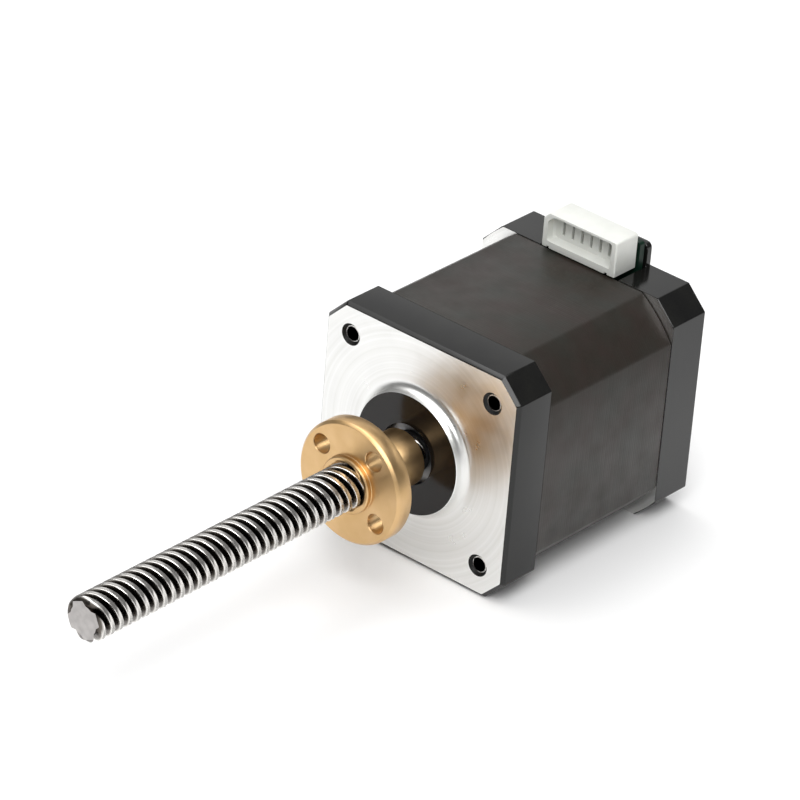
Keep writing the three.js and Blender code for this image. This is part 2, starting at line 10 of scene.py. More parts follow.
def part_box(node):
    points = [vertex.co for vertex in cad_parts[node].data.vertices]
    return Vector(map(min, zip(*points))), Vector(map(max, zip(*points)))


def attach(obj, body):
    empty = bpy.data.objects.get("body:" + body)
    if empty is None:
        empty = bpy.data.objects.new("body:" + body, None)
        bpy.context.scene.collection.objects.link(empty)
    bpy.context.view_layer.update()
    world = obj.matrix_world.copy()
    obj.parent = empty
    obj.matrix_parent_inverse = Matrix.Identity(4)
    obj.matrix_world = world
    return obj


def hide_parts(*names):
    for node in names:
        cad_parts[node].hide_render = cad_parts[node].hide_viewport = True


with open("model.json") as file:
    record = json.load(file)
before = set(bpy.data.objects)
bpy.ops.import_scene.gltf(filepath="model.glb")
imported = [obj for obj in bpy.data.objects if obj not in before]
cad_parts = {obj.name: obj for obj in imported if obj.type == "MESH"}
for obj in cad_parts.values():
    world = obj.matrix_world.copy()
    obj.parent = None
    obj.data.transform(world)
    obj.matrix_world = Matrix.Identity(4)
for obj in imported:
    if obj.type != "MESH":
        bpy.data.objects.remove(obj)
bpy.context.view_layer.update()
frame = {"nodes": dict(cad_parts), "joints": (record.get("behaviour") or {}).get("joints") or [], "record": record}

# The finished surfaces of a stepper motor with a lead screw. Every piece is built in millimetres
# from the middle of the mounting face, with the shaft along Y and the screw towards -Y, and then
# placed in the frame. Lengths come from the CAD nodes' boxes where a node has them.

MM = 0.001
SHAFT_JOINT = next(joint for joint in frame["joints"] if joint["name"] == "rotor_spin")
MOUNTING_FACE = Vector(SHAFT_JOINT["pos_m"])


def local_box(node):
    """A CAD node's lowest and highest corners, in millimetres from the mounting face."""
    low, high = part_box(node)
    return (low - MOUNTING_FACE) / MM, (high - MOUNTING_FACE) / MM


# ---------------------------------------------------------------- sizes, in millimetres

FRONT_LOW, FRONT_HIGH = local_box("front_end_bell")
REAR_LOW, REAR_HIGH = local_box("rear_end_bell")
STATOR_LOW, STATOR_HIGH = local_box("stator_core")
SCREW_LOW, SCREW_HIGH = local_box("lead_screw")
NUT_LOW, NUT_HIGH = local_box("flanged_nut")
PLUG_LOW, PLUG_HIGH = local_box("connector_housing")
BOARD_LOW, BOARD_HIGH = local_box("terminal_board")

HALF_FRAME = FRONT_HIGH.x
HOLE_OFFSET = 15.5
BELL_CHAMFER = 4.0
BELL_CORNER_RADIUS = 0.5
FRONT_BEVEL = 0.65
REAR_BEVEL = 0.2
EDGE = 0.12  # how far a plain edge is broken
OVERRUN = 1.0  # how far a cutting tool reaches past what it cuts

PILOT_RADIUS = 11.0
PILOT_BORE_RADIUS = 5.5
PILOT_TOP = FRONT_LOW.y
PILOT_FILLET = 1.5
POCKET_RADIUS = 8.3  # of the seats of the two bearings
POCKET_FLOOR = -1.0
HUB_RADIUS = 9.9
HUB_END = 4.6
FRONT_WALL = 3.2
WINDING_SPACE_RADIUS = 19.3

MOUNTING_HOLE_RIM_RADIUS = 2.0
MOUNTING_HOLE_RADIUS = 1.45
MOUNTING_HOLE_DEPTH = 3.4
HOLE_THREAD_PITCH = 0.5
HOLE_THREAD_DEPTH = 0.27

REAR_WALL_START = 47.7
REAR_WINDING_SPACE_END = 46.1
REAR_BORE_RADIUS = 4.0
REAR_RING_RADIUS = 9.6  # of the shallow round recess in the rear face
REAR_RING_DEPTH = 0.35
REGISTER_RADIUS = 27.0  # of the bare turned seat that the stator meets
REGISTER_DEPTH = 0.06
LUG_HALF_WIDTH = 8.65
LUG_ROOT_DEPTH = 3.0  # how far the lug runs down into the bell
BOARD_WAY_BOTTOM = 16.3

STATOR_CORNER_RADIUS = 25.2  # of the one circle that all four corners lie on
STATOR_BORE_RADIUS = 18.2
SHEET_THICKNESS = 0.5
SHEET_JOINT_DEPTH = 0.009

CASE_SCREW_RADIUS = 1.5
CASE_SCREW_WAY_RADIUS = 1.85
CASE_SCREW_HEAD_HEIGHT = 2.0
CASE_SCREW_HEAD_RADIUS = 2.75
CASE_SCREW_SOCKET_RADIUS = 1.45
CASE_SCREW_SOCKET_DEPTH = 1.3
HEAD_WAY_RADIUS = 3.05
HEAD_WAY_FLOOR = 46.4

THREAD_STARTS = 4
THREAD_PITCH = 2.0
THREAD_LEAD = THREAD_STARTS * THREAD_PITCH
THREAD_RADIUS = 4.0
THREAD_ROOT_RADIUS = 2.8
CREST_SHARE = 0.44  # of one pitch, as is the flank's
FLANK_SHARE = 0.13
CREST_EASE = 0.06  # how far the crest's edges are rounded off
TIP_CHAMFER = 0.6
SCREW_SHOULDER = -1.0
SHAFT_RADIUS = 2.5

NUT_BARREL_RADIUS = 5.1
NUT_BARREL_LENGTH = 10.0
NUT_FLANGE_WIDTH = 3.5
NUT_MOUTH_RADIUS = 4.5
NUT_CLEARANCE = 0.1
NUT_HOLE_RADIUS = 1.75
NUT_HOLE_CIRCLE_RADIUS = 8.0
NUT_HOLE_COUNT = 4
FIRST_NUT_HOLE = math.radians(52)

PIN_COUNT = 6
PIN_PITCH = 2.0
PIN_HEIGHT = 25.0
PIN_PLACES = [(i - (PIN_COUNT - 1) / 2) * PIN_PITCH for i in range(PIN_COUNT)]
SLOT_HALF_WIDTH = 0.28
SLOT_HALF_HEIGHT = 1.3
BOARD_HALF_WIDTH = 8.3
BOARD_TAB_BOTTOM = 11.3
BOARD_BORE_RADIUS = 10.3

CORNERS = [(x * HOLE_OFFSET, z * HOLE_OFFSET) for x, z in ((1, 1), (-1, 1), (-1, -1), (1, -1))]


# ---------------------------------------------------------------- materials


class Finish:
    """One procedural material. Its texture places are the piece's own, in metres."""

    def __init__(self, name, **sockets):
        self.material = bpy.data.materials.new(name)
        self.material.use_nodes = True
        self.tree = self.material.node_tree
        self.shader = self.tree.nodes["Principled BSDF"]
        for socket, value in sockets.items():
            self.shader.inputs[socket.replace("_", " ")].default_value = value
        self.place = self.node("ShaderNodeTexCoord").outputs["Object"]

    def node(self, kind, **settings):
        node = self.tree.nodes.new(kind)
        for setting, value in settings.items():
            setattr(node, setting, value)
        return node

    def link(self, output, socket):
        self.tree.links.new(output, socket)

    def stretched(self, x, y, z):
        """The place, with each axis multiplied, so that a texture runs in streaks."""
        node = self.node("ShaderNodeVectorMath", operation="MULTIPLY")
        self.link(self.place, node.inputs[0])
        node.inputs[1].default_value = (x, y, z)
        return node.outputs[0]

    def radius(self):
        """The distance from the shaft axis, in metres."""
        node = self.node("ShaderNodeVectorMath", operation="LENGTH")
        self.link(self.stretched(1, 0, 1), node.inputs[0])
        return node.outputs["Value"]

    def noise(self, size, detail=4.0, vector=None):
        """Noise whose blots are about size millimetres across."""
        node = self.node("ShaderNodeTexNoise")
        node.inputs["Scale"].default_value = 1 / (size * MM)
        node.inputs["Detail"].default_value = detail
        self.link(vector or self.place, node.inputs["Vector"])
        return node.outputs["Fac"]

    def rings(self, size, detail=3.0):
        """Turning marks round the shaft axis, about size millimetres apart."""
        node = self.node("ShaderNodeTexNoise", noise_dimensions="1D")
        node.inputs["Scale"].default_value = 1 / (size * MM)
        node.inputs["Detail"].default_value = detail
        self.link(self.radius(), node.inputs["W"])
        return node.outputs["Fac"]

    def between(self, factor, low, high, start=0.3, end=0.7):
        """A number that runs from low to high as the factor runs from start to end."""
        node = self.node("ShaderNodeMapRange")
        self.link(factor, node.inputs["Value"])
        node.inputs["From Min"].default_value = start
        node.inputs["From Max"].default_value = end
        node.inputs["To Min"].default_value = low
        node.inputs["To Max"].default_value = high
        return node.outputs["Result"]

    def colours(self, factor, *stops):
        """A colour picked by the factor from stops, each a place from 0 to 1 and a colour."""
        node = self.node("ShaderNodeValToRGB")
        ramp = node.color_ramp
        while len(ramp.elements) < len(stops):
            ramp.elements.new(1.0)
        for element, (place, colour) in zip(ramp.elements, stops):
            element.position = place
            element.color = (*colour, 1)
        self.link(factor, node.inputs["Fac"])
        self.link(node.outputs["Color"], self.shader.inputs["Base Color"])

    def roughness(self, factor, low, high):
        self.link(self.between(factor, low, high), self.shader.inputs["Roughness"])

    def bump(self, height, depth, strength=1.0):
        """Raises the surface by up to depth millimetres."""
        node = self.node("ShaderNodeBump")
        node.inputs["Distance"].default_value = depth * MM
        node.inputs["Strength"].default_value = strength
        self.link(height, node.inputs["Height"])
        shader_normal = self.shader.inputs["Normal"]
        if shader_normal.is_linked:
            self.link(shader_normal.links[0].from_socket, node.inputs["Normal"])
        self.link(node.outputs["Normal"], shader_normal)

    def turned(self, amount):
        """Stretches the highlights across turning marks that run round the shaft axis."""
        self.shader.inputs["Anisotropic"].default_value = amount
        tangent = self.node("ShaderNodeTangent", direction_type="RADIAL", axis="Y")
        self.link(tangent.outputs["Tangent"], self.shader.inputs["Tangent"])


def black_paint():
    finish = Finish("black_paint", Specular_IOR_Level=0.42)
    blots = finish.noise(6)
    finish.colours(blots, (0.35, (0.005, 0.005, 0.005)), (0.7, (0.009, 0.009, 0.008)))
    finish.roughness(blots, 0.10, 0.18)
    finish.bump(finish.noise(0.9, 2), 0.004, 0.6)
    return finish.material


def recess_shade_black():
    """The black paint, made darker and duller down in the holes and the pilot's bore: painted shade there."""
    finish = Finish("recess_shade_black", Specular_IOR_Level=0.25)
    finish.colours(finish.noise(1.5), (0.3, (0.003, 0.003, 0.003)), (0.7, (0.008, 0.008, 0.007)))
    finish.roughness(finish.noise(0.6), 0.4, 0.6)
    finish.bump(finish.noise(0.3), 0.004, 0.5)
    return finish.material


def pilot_paint():
    finish = Finish("pilot_paint", Specular_IOR_Level=0.32)
    finish.colours(finish.noise(3), (0.3, (0.005, 0.004, 0.0035)), (0.7, (0.009, 0.007, 0.006)))
    finish.roughness(finish.rings(0.4), 0.08, 0.16)
    finish.bump(finish.rings(0.25), 0.002, 0.5)
    return finish.material


def turned_aluminium():
    finish = Finish("turned_aluminium", Metallic=1.0)
    finish.colours(finish.rings(0.8), (0.3, (0.76, 0.76, 0.74)), (0.7, (0.83, 0.83, 0.82)))
    finish.roughness(finish.noise(5), 0.26, 0.38)
    finish.bump(finish.rings(0.25), 0.002, 0.4)
    finish.turned(0.5)
    return finish.material


def bare_thread():
    finish = Finish("bare_thread", Metallic=1.0)
    finish.colours(finish.noise(0.5), (0.3, (0.55, 0.54, 0.52)), (0.7, (0.85, 0.84, 0.82)))
    finish.roughness(finish.noise(0.3), 0.4, 0.55)
    return finish.material


def stator_steel():
    finish = Finish("stator_steel", Metallic=0.0, Specular_IOR_Level=0.45)
    sheets = finish.noise(1.0, 3, finish.stretched(0.04, 2.2, 0.04))
    mottle = finish.noise(7, 6)
    finish.colours(
        mottle,
        (0.32, (0.022, 0.014, 0.011)),
        (0.5, (0.019, 0.015, 0.011)),
        (0.68, (0.017, 0.017, 0.013)),
    )
    finish.roughness(finish.noise(4, 5), 0.36, 0.5)
    finish.bump(sheets, 0.012, 0.5)
    finish.bump(finish.noise(0.35, 3), 0.006, 0.4)
    return finish.material


def brass():
    finish = Finish("nut_brass", Metallic=1.0)
    finish.colours(finish.noise(4, 5), (0.3, (0.60, 0.39, 0.18)), (0.7, (0.68, 0.46, 0.24)))
    finish.roughness(finish.noise(2.5, 3), 0.3, 0.4)
    finish.bump(finish.rings(0.3), 0.002, 0.4)
    finish.turned(0.4)
    return finish.material


def screw_steel():
    finish = Finish("screw_steel", Metallic=1.0)
    # The colour runs from bright steel at the crest to near-black at the thread's root: the dark grooves are
    # painted shade.
    depth = finish.between(finish.radius(), 0, 1, THREAD_ROOT_RADIUS * MM, THREAD_RADIUS * MM)
    finish.colours(
        depth,
        (0.05, (0.035, 0.028, 0.024)),
        (0.70, (0.14, 0.125, 0.11)),
        (0.93, (0.80, 0.78, 0.75)),
    )
    finish.roughness(finish.noise(1.2, 4), 0.18, 0.34)
    finish.bump(finish.noise(0.3, 3, finish.stretched(1, 0.3, 1)), 0.006, 0.5)
    return finish.material


def bright_steel(name, tone, low, high):
    finish = Finish(name, Metallic=1.0)
    darker = tuple(0.8 * channel for channel in tone)
    finish.colours(finish.noise(1.5), (0.3, darker), (0.7, tone))
    finish.roughness(finish.noise(0.8, 3), low, high)
    finish.bump(finish.noise(0.25, 3), 0.003, 0.4)
    return finish.material


def nylon(name="connector_nylon"):
    finish = Finish(name, Subsurface_Weight=0.15, Subsurface_Scale=0.0015)
    finish.shader.inputs["Subsurface Radius"].default_value = (1.0, 0.9, 0.8)
    finish.colours(finish.noise(3, 3), (0.3, (0.70, 0.71, 0.67)), (0.7, (0.75, 0.76, 0.72)))
    finish.roughness(finish.noise(1.0, 3), 0.32, 0.45)
    finish.bump(finish.noise(0.4, 3), 0.006, 0.5)
    return finish.material


def board_green():
    finish = Finish("board_green", Specular_IOR_Level=0.2)
    weave = finish.noise(0.5, 2, finish.stretched(1, 1, 0.25))
    finish.colours(weave, (0.3, (0.003, 0.014, 0.008)), (0.7, (0.005, 0.022, 0.013)))
    finish.roughness(finish.noise(2), 0.3, 0.45)
    finish.bump(weave, 0.01, 0.5)
    return finish.material


def copper_wire():
    finish = Finish("coil_copper", Metallic=1.0, Coat_Weight=0.5, Coat_Roughness=0.1)
    finish.colours(finish.noise(1.2), (0.3, (0.42, 0.13, 0.04)), (0.7, (0.62, 0.24, 0.09)))
    finish.roughness(finish.noise(0.4), 0.2, 0.4)
    finish.bump(finish.rings(0.3, 0), 0.05, 0.8)
    return finish.material


def sintered():
    finish = Finish("magnet", Metallic=0.6)
    finish.colours(finish.noise(0.4, 6), (0.3, (0.05, 0.05, 0.055)), (0.7, (0.13, 0.13, 0.14)))
    finish.roughness(finish.noise(0.3, 4), 0.45, 0.6)
    finish.bump(finish.noise(0.15, 4), 0.01, 0.6)
    return finish.material


PAINT = black_paint()
PILOT_PAINT = pilot_paint()
RECESS_SHADE = recess_shade_black()
ALUMINIUM = turned_aluminium()
BARE_THREAD = bare_thread()
STATOR = stator_steel()
BRASS = brass()
SCREW = screw_steel()
NYLON = nylon()
BOARD = board_green()
TIN = bright_steel("pin_tin", (0.78, 0.77, 0.74), 0.15, 0.3)
ZINC = bright_steel("fastener_steel", (0.4, 0.4, 0.41), 0.24, 0.4)
GROUND = bright_steel("ground_steel", (0.46, 0.44, 0.43), 0.3, 0.45)
# The bearings' steel is toned darker than the other steel as painted shade, since they sit inside the bells behind
# the bores.
SHADED_BEARING = bright_steel("bearing_steel", (0.3, 0.3, 0.31), 0.35, 0.5)
ROTOR = bright_steel("rotor_steel", (0.45, 0.45, 0.46), 0.3, 0.5)
SOLDER = bright_steel("solder", (0.82, 0.82, 0.83), 0.1, 0.22)


# ---------------------------------------------------------------- outlines, as (x, z) points


def circle(radius, count=96, centre=(0, 0)):
    return [
        (
            centre[0] + radius * math.cos(2 * math.pi * i / count),
            centre[1] + radius * math.sin(2 * math.pi * i / count),
        )
        for i in range(count)
    ]


def rounded(corners, radius):
    """A closed outline through the corners, each one turned into an arc."""
    steps = 4
    points = []
    for i, corner in enumerate(corners):
        here = Vector(corner)
        back = (Vector(corners[i - 1]) - here).normalized()
        ahead = (Vector(corners[(i + 1) % len(corners)]) - here).normalized()
        half_angle = back.angle(ahead) / 2
        reach = radius / math.tan(half_angle)
        centre = here + (back + ahead).normalized() * (radius / math.sin(half_angle))
        first = here + back * reach - centre
        last = here + ahead * reach - centre
        for step in range(steps + 1):
            points.append(centre + first.slerp(last, step / steps) * radius)
    return [(point.x, point.y) for point in points]


def bell_outline(inset):
    """A square with cut corners, drawn in by inset on every side."""
    a = HALF_FRAME - inset
    b = HALF_FRAME - BELL_CHAMFER - inset * (math.sqrt(2) - 1)
    corners = [(a, -b), (a, b), (b, a), (-b, a), (-a, b), (-a, -b), (-b, -a), (b, -a)]
    return rounded(corners, BELL_CORNER_RADIUS)


def box_outline(x0, x1, z0, z1, radius):
    return rounded([(x0, z0), (x1, z0), (x1, z1), (x0, z1)], radius)


# ---------------------------------------------------------------- building surfaces

SHARP_FROM = 32  # degrees between two faces from which their edge is drawn sharp
CUT_SHARP_FROM = 25  # less, so that a flat face stays flat beside a narrow bevel


class Skin:
    """A closed surface built from loops of points that run round the Y direction."""

    def __init__(self):
        self.bm = bmesh.new()

    def loop(self, outline, y):
        return [self.bm.verts.new((x, y, z)) for x, z in outline]

    def bridge(self, loops, material=0):
        """Joins each loop to the next. All have the same number of points."""
        for first, second in zip(loops, loops[1:]):
            for i in range(len(first)):
                j = (i + 1) % len(first)
                face = self.bm.faces.new((first[i], first[j], second[j], second[i]))
                face.material_index = material

    def cap(self, loop, material=0):
        self.bm.faces.new(loop).material_index = material

    def edges_of(self, loops):
        """The edges along closed loops of points, made where they aren't there yet."""
        edges = []
        for loop in loops:
            for i, vertex in enumerate(loop):
                other = loop[(i + 1) % len(loop)]
                edge = self.bm.edges.get((vertex, other)) or self.bm.edges.new((vertex, other))
                edges.append(edge)
        return edges

    def plate(self, loops, material=0):
        """Fills the flat area between an outer loop and the holes in it."""
        edges = self.edges_of(loops)
        filled = bmesh.ops.triangle_fill(self.bm, use_beauty=True, edges=edges)
        for item in filled["geom"]:
            if isinstance(item, bmesh.types.BMFace):
                item.material_index = material

    def stitch(self, first, second, material=0):
        """Joins two loops that don't match point for point."""
        edges = self.edges_of((first, second))
        for face in bmesh.ops.bridge_loops(self.bm, edges=edges)["faces"]:
            face.material_index = material

    def turned(self, profile, count=96, centre=(0, 0)):
        """Loops round an axis along Y, one for each (radius, y) in the profile."""
        return [self.loop(circle(radius, count, centre), y) for radius, y in profile]

    def lofted(self, outline_at, levels):
        """Loops of an outline drawn in by each inset, at each y."""
        return [self.loop(outline_at(inset), y) for inset, y in levels]

    def finish(self, name, materials, sharp_from=SHARP_FROM):
        bmesh.ops.recalc_face_normals(self.bm, faces=self.bm.faces)
        mesh = bpy.data.meshes.new(name)
        self.bm.to_mesh(mesh)
        self.bm.free()
        mesh.transform(Matrix.Scale(MM, 4))
        for material in materials:
            mesh.materials.append(material)
        mesh.shade_smooth()
        mesh.set_sharp_from_angle(angle=math.radians(sharp_from))
        piece = bpy.data.objects.new(name, mesh)
        piece.location = MOUNTING_FACE
        bpy.context.scene.collection.objects.link(piece)
        return piece


def register(piece, body, slot, *nodes):
    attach(piece, body)
    if nodes:
        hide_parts(*nodes)
    return piece


def solid_prism(outline, start, end, broken=EDGE):
    """An outline pushed along Y, with its end edges broken by lofting to a smaller copy."""
    skin = Skin()
    middle = Vector((sum(x for x, z in outline), sum(z for x, z in outline))) / len(outline)
    reach = max((Vector(point) - middle).length for point in outline)
    share = 1 - broken / reach
    smaller = [tuple(middle + (Vector(point) - middle) * share) for point in outline]
    levels = [(smaller, start), (outline, start + broken), (outline, end - broken), (smaller, end)]
    loops = [skin.loop(shape, y) for shape, y in levels]
    skin.bridge(loops)
    skin.cap(loops[0])
    skin.cap(loops[-1])
    return skin


def plain_box(x0, x1, y0, y1, z0, z1):
    """A sharp box, only ever used as a cutting tool."""
    skin = Skin()
    loops = [skin.loop([(x0, z0), (x1, z0), (x1, z1), (x0, z1)], y) for y in (y0, y1)]
    skin.bridge(loops)
    skin.cap(loops[0])
    skin.cap(loops[1])
    return skin


def turned_tool(profile, centre=(0, 0), count=48):
    """A solid of revolution about an axis along Y, only ever used as a cutting tool."""
    skin = Skin()
    loops = skin.turned(profile, count, centre)
    skin.bridge(loops)
    skin.cap(loops[0])
    skin.cap(loops[-1])
    return skin


def combine(piece, operation, tools, bevel=0.0, surface=None):
    """Cuts or joins the tools, breaks the sharp edges by bevel, and keeps the result as the mesh.
    A cut surface takes the material given as surface, or else the piece's first one."""
    material = surface or piece.data.materials[0]
    tool_pieces = [tool.finish("tool", [material]) for tool in tools]
    for tool_piece in tool_pieces:
        modifier = piece.modifiers.new("combine", "BOOLEAN")
        modifier.object = tool_piece
        modifier.operation = operation
        modifier.solver = "EXACT"
        modifier.material_mode = "TRANSFER"
    if bevel:
        modifier = piece.modifiers.new("bevel", "BEVEL")
        modifier.width = bevel * MM
        modifier.segments = 1
        modifier.limit_method = "ANGLE"
        modifier.angle_limit = math.radians(50)
        modifier.use_clamp_overlap = True
    graph = bpy.context.evaluated_depsgraph_get()
    mesh = bpy.data.meshes.new_from_object(piece.evaluated_get(graph))
    piece.modifiers.clear()
    piece.data = mesh
    mesh.shade_smooth()
    mesh.set_sharp_from_angle(angle=math.radians(CUT_SHARP_FROM))
    for tool_piece in tool_pieces:
        bpy.data.objects.remove(tool_piece)
    return piece


def arc(centre_r, centre_y, radius, first, last, steps):
    """Profile points on an arc, with angles in degrees from +radius towards +y."""
    angles = [math.radians(first + (last - first) * i / steps) for i in range(steps + 1)]
    return [(centre_r + radius * math.cos(a), centre_y + radius * math.sin(a)) for a in angles]


# ---------------------------------------------------------------- threads


def thread_section(crest, root, starts=1, crest_share=CREST_SHARE, flank_share=FLANK_SHARE):
    """A thread's cross-section as (share of a turn, radius) points, with eased crest edges."""
    ease = 0.04
    shares = [
        (0, crest - CREST_EASE),
        (ease, crest),
        (crest_share - ease, crest),
        (crest_share, crest - CREST_EASE),
        (crest_share + flank_share, root),
        ((1 + crest_share) / 2, root),
        (1 - flank_share, root),
    ]
    return [((start + share) / starts, radius) for start in range(starts) for share, radius in shares]


def thread_loops(skin, section, start, end, lead, limit, centre=(0, 0), steps_per_turn=48):
    """Loops of the section, turned by one turn for each lead. limit(radius, y) trims each radius.
    Seen from the screw's end, a right-hand thread goes clockwise as it goes away."""
    count = max(2, round(steps_per_turn * (end - start) / lead))
    loops = []
    for i in range(count + 1):
        y = start + (end - start) * i / count
        outline = []
        for share, radius in section:
            angle = 2 * math.pi * (y / lead + share)
            trimmed = limit(radius, y)
            x = centre[0] + trimmed * math.sin(angle)
            z = centre[1] + trimmed * math.cos(angle)
            outline.append((x, z))
        loops.append(skin.loop(outline, y))
    return loops


def tapped_hole(skin, centre, rim_material, thread_material):
    """A tapped blind hole from the mounting face, with a countersink. Returns its rim loop."""
    count = 28
    rows_per_turn = 12
    rim = MOUNTING_HOLE_RIM_RADIUS
    radius = MOUNTING_HOLE_RADIUS
    sink = rim - radius
    rims = skin.turned([(rim, 0), (radius, sink)], count, centre)
    skin.bridge(rims, rim_material)
    section = [
        (i / count, radius - HOLE_THREAD_DEPTH * abs(1 - 2 * i / count)) for i in range(count)
    ]
    rows = thread_loops(
        skin, section, sink, MOUNTING_HOLE_DEPTH, HOLE_THREAD_PITCH, lambda r, y: r, centre, rows_per_turn
    )
    skin.bridge(rows, thread_material)
    skin.stitch(rims[-1], rows[0], thread_material)
    skin.cap(rows[-1], rim_material)
    return rims[0]


# ---------------------------------------------------------------- case


def front_bell():
    """Painted, with the mounting face turned bare and a boss that keeps its paint on top."""
    paint, bare, pilot, thread, recess = range(5)
    end = FRONT_HIGH.y
    skin = Skin()
    side = skin.lofted(
        bell_outline,
        [
            (FRONT_BEVEL, 0),
            (0.05, FRONT_BEVEL - 0.05),
            (0, FRONT_BEVEL + 0.1),
            (0, end - EDGE),
            (EDGE, end),
        ],
    )
    skin.bridge(side, paint)

    root = arc(PILOT_RADIUS + PILOT_FILLET, -PILOT_FILLET, PILOT_FILLET, 90, 180, 10)
    boss = skin.turned([*root, (PILOT_RADIUS, PILOT_TOP + 0.1)])
    skin.bridge(boss, bare)
    top = skin.turned([(PILOT_RADIUS - 0.1, PILOT_TOP), (PILOT_BORE_RADIUS, PILOT_TOP)])
    skin.bridge([boss[-1], top[0]], bare)
    skin.bridge(top, pilot)
    bore = skin.turned(
        [
            (PILOT_BORE_RADIUS, POCKET_FLOOR),
            (POCKET_RADIUS, POCKET_FLOOR),
            (POCKET_RADIUS, HUB_END - 0.2),
            (POCKET_RADIUS + 0.2, HUB_END),
            (HUB_RADIUS, HUB_END),
            (HUB_RADIUS, FRONT_WALL),
            (WINDING_SPACE_RADIUS, FRONT_WALL),
            (WINDING_SPACE_RADIUS, end),
        ]
    )
    # The bore, the pockets beyond it and the holes' countersinks and ends take the darker recess paint, which
    # stands in for shade down there.
    skin.bridge([top[-1], bore[0]], recess)
    skin.bridge(bore, recess)
    holes = [tapped_hole(skin, place, recess, thread) for place in CORNERS]
    skin.plate([side[0], boss[0], *holes], bare)
    skin.plate([side[-1], bore[-1]], paint)
    piece = skin.finish("front_bell_shell", [PAINT, ALUMINIUM, PILOT_PAINT, BARE_THREAD, RECESS_SHADE])
    return register(piece, "motor", "bell_paint", "front_end_bell")


def rear_bell():
    """Painted all over, apart from the turned face that the stator seats on."""
    start = REAR_LOW.y
    end = REAR_HIGH.y
    skin = Skin()
    side = skin.lofted(
        bell_outline,
        [(EDGE, start), (0, start + EDGE), (0, end - REAR_BEVEL), (REAR_BEVEL, end)],
    )
    skin.bridge(side)
    skin.cap(side[0])
    skin.cap(side[-1])
    piece = skin.finish("rear_bell_shell", [PAINT])
    lug = box_outline(-LUG_HALF_WIDTH, LUG_HALF_WIDTH, HALF_FRAME - LUG_ROOT_DEPTH, REAR_HIGH.z, 1.0)
    combine(piece, "UNION", [solid_prism(lug, REAR_WALL_START, end)])

    def round_cut(radius, first, last, count, centre=(0, 0)):
        return turned_tool([(radius, first), (radius, last)], centre, count)

    ring_mouth = [(REAR_RING_RADIUS, end - REAR_RING_DEPTH), (REAR_RING_RADIUS + 0.3, end + 0.1)]
    bore = [(REAR_BORE_RADIUS, start), (REAR_BORE_RADIUS, end - 0.5), (REAR_BORE_RADIUS + 0.6, end + 0.2)]
    head_way = [
        (HEAD_WAY_RADIUS, HEAD_WAY_FLOOR),
        (HEAD_WAY_RADIUS, end - 0.25),
        (HEAD_WAY_RADIUS + 0.45, end + 0.2),
    ]
    tools = [
        round_cut(WINDING_SPACE_RADIUS, start - OVERRUN, REAR_WINDING_SPACE_END, 96),
        round_cut(POCKET_RADIUS, start, REAR_WALL_START, 64),
        turned_tool(bore, count=64),
        turned_tool(ring_mouth, count=96),
        plain_box(
            -LUG_HALF_WIDTH,
            LUG_HALF_WIDTH,
            start - OVERRUN,
            REAR_WALL_START,
            BOARD_WAY_BOTTOM,
            HALF_FRAME + OVERRUN,
        ),
        *[turned_tool(head_way, place) for place in CORNERS],
        *[round_cut(CASE_SCREW_WAY_RADIUS, start - OVERRUN, end, 24, place) for place in CORNERS],
    ]
    combine(piece, "DIFFERENCE", tools, bevel=0.08)
    register_cut = round_cut(REGISTER_RADIUS, start - OVERRUN, start + REGISTER_DEPTH, 128)
    combine(piece, "DIFFERENCE", [register_cut], surface=ALUMINIUM)
    return register(piece, "motor", "bell_paint", "rear_end_bell")


def stator_outline(inset):
    """Four flats joined by arcs that lie on one large circle."""
    half = STATOR_HIGH.x - inset
    radius = STATOR_CORNER_RADIUS - inset
    meeting = math.acos(half / radius)
    steps = 16
    points = []
    for corner in range(4):
        first = corner * math.pi / 2 + meeting
        last = (corner + 1) * math.pi / 2 - meeting
        for i in range(steps + 1):
            angle = first + (last - first) * i / steps
            points.append((radius * math.cos(angle), radius * math.sin(angle)))
    return points


def stator():
    """The stack of sheets, each one standing a little proud of the joint to the next."""
    depths = random.Random(17)
    start = STATOR_LOW.y
    end = STATOR_HIGH.y
    count = round((end - start) / SHEET_THICKNESS)
    thickness = (end - start) / count
    rounding = 0.18 * thickness
    levels = []
    for i in range(count):
        y = start + i * thickness
        levels.append((SHEET_JOINT_DEPTH * depths.uniform(0.3, 1.0), y))
        levels.append((0, y + rounding))
        levels.append((0, y + thickness - rounding))
    levels.append((SHEET_JOINT_DEPTH, end))
    skin = Skin()
    side = skin.lofted(stator_outline, levels)
    skin.bridge(side)
    bore = skin.turned([(STATOR_BORE_RADIUS, start), (STATOR_BORE_RADIUS, end)])
    skin.bridge(bore)
    way_profile = [(CASE_SCREW_WAY_RADIUS, start), (CASE_SCREW_WAY_RADIUS, end)]
    ways = [skin.turned(way_profile, 24, place) for place in CORNERS]
    for way in ways:
        skin.bridge(way)
    skin.plate([side[0], bore[0], *[way[0] for way in ways]])
    skin.plate([side[-1], bore[-1], *[way[-1] for way in ways]])
    piece = skin.finish("stator_stack", [STATOR], sharp_from=50)
    return register(piece, "motor", "stator_steel", "stator_core")


